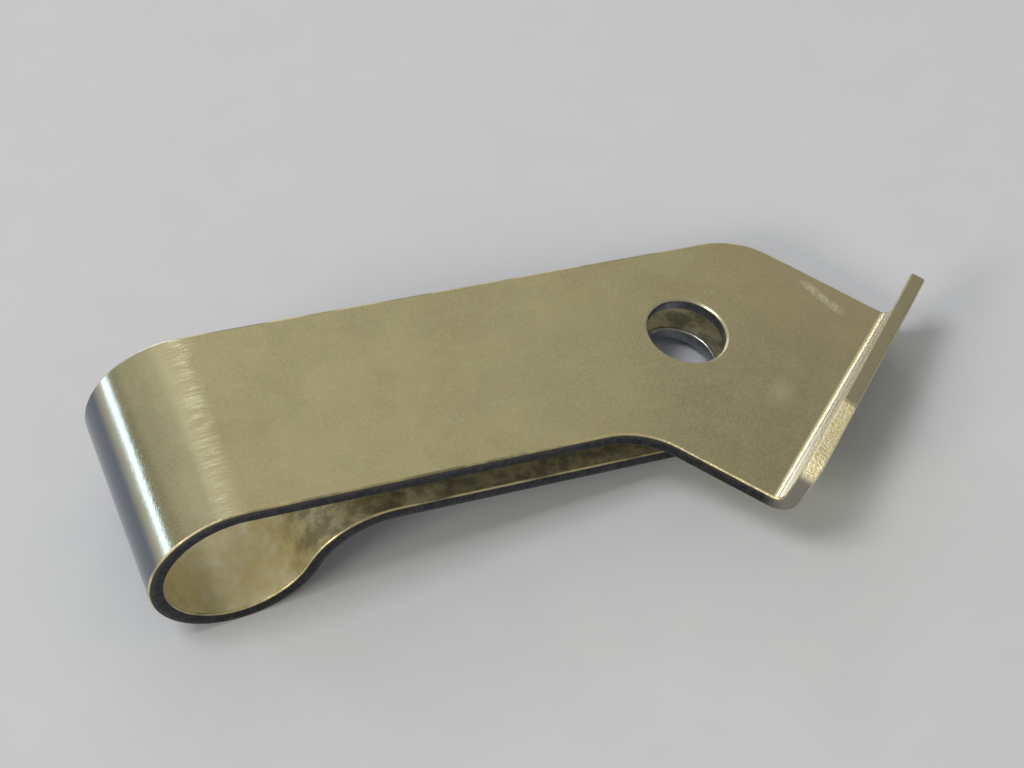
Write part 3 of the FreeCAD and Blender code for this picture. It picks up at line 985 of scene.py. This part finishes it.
# %% [markdown]
# ## The camera
#
# The camera stands in front and to the left, looking well down on the clip, with a long
# lens close up. Its place and aim are in millimetres from the eye's axis, like the rest.

# %% Set up the camera
camera_place = Vector((-20.64, -127.44, 191.12)) / METRE
camera_aim = Vector((34.90, 5.60, floor_level)) / METRE
camera_roll = math.radians(0.737)
camera_data = bpy.data.cameras.new("camera")
camera_data.lens = 81.6
camera_data.sensor_width = 36.0
camera_data.clip_start = 0.01
camera_data.clip_end = 20.0
camera = bpy.data.objects.new("camera", camera_data)
bpy.context.scene.collection.objects.link(camera)
look = (camera_aim - camera_place).to_track_quat("-Z", "Y").to_matrix()
turned = look @ Matrix.Rotation(camera_roll, 3, "Z")
camera.matrix_world = Matrix.Translation(camera_place) @ turned.to_4x4()
bpy.context.scene.camera = camera
print(f"the camera is {(camera_aim - camera_place).length * METRE:.0f} mm from what it looks at")

# %% [markdown]
# ## Light
#
# Bare metal has almost no colour of its own: it shows what it reflects. So each light is
# placed for the reflection it makes. `shine_from` puts a soft lamp in a direction seen from
# the clip. A key above lights everything evenly. A broad one high at the back brightens the
# leaves, a soft one joins it from the left, and a small one sits below it. A narrow cool one
# low on the left draws the bright line down the eye's shoulder. One low at the back lights
# the flange's bend and the far rim, and a warm one in front picks out the near rims.

# %% Soft studio lamps
LAMP_AIM = Vector((0.03, 0, 0))


def shine_from(name, direction, distance, size, power, tint):
    """A rectangular lamp in a direction from the clip, at a distance in metres."""
    lamp_data = bpy.data.lights.new(name, "AREA")
    lamp_data.shape = "RECTANGLE"
    lamp_data.size = size[0]
    lamp_data.size_y = size[1]
    lamp_data.energy = power
    lamp_data.color = tint
    lamp = bpy.data.objects.new(name, lamp_data)
    toward = Vector(direction).normalized()
    lamp.location = toward * distance + LAMP_AIM
    lamp.rotation_euler = toward.to_track_quat("Z", "Y").to_euler()
    lamp.visible_camera = False
    bpy.context.scene.collection.objects.link(lamp)


shine_from("key_above", (-0.40, 0.05, 0.91), 1.5, (0.5, 0.5), 8.0, (1.0, 0.96, 0.88))
shine_from("broad_back", (0.22, 0.58, 0.78), 1.4, (1.1, 0.9), 0.70, (1.0, 0.94, 0.72))
shine_from("soft_left", (-0.45, 0.66, 0.60), 1.3, (0.8, 0.8), 0.30, (0.88, 1.0, 0.90))
shine_from("cool_left", (-0.80, 0.597, 0.075), 1.0, (0.6, 0.12), 1.0, (0.44, 0.65, 1.0))
shine_from("back", (0.27, 0.83, 0.48), 1.2, (0.18, 0.16), 0.6, (1.0, 0.97, 0.92))
shine_from("low_back", (-0.06, 0.97, 0.21), 1.2, (0.36, 0.42), 1.0, (1.0, 0.95, 0.97))
shine_from("warm_front", (-0.78, -0.32, 0.50), 1.1, (0.35, 0.3), 3.6, (1.0, 0.91, 0.68))

# %% [markdown]
# A dim, warm surround fills in between the lamps, so that no reflection is quite black.

# %% A warm surround
world = bpy.data.worlds.new("studio")
world.use_nodes = True
background = world.node_tree.nodes["Background"]
background.inputs["Color"].default_value = (1.0, 0.94, 0.76, 1.0)
background.inputs["Strength"].default_value = 0.36
bpy.context.scene.world = world
bpy.context.scene.view_settings.view_transform = "Standard"

# %% Import json
import json
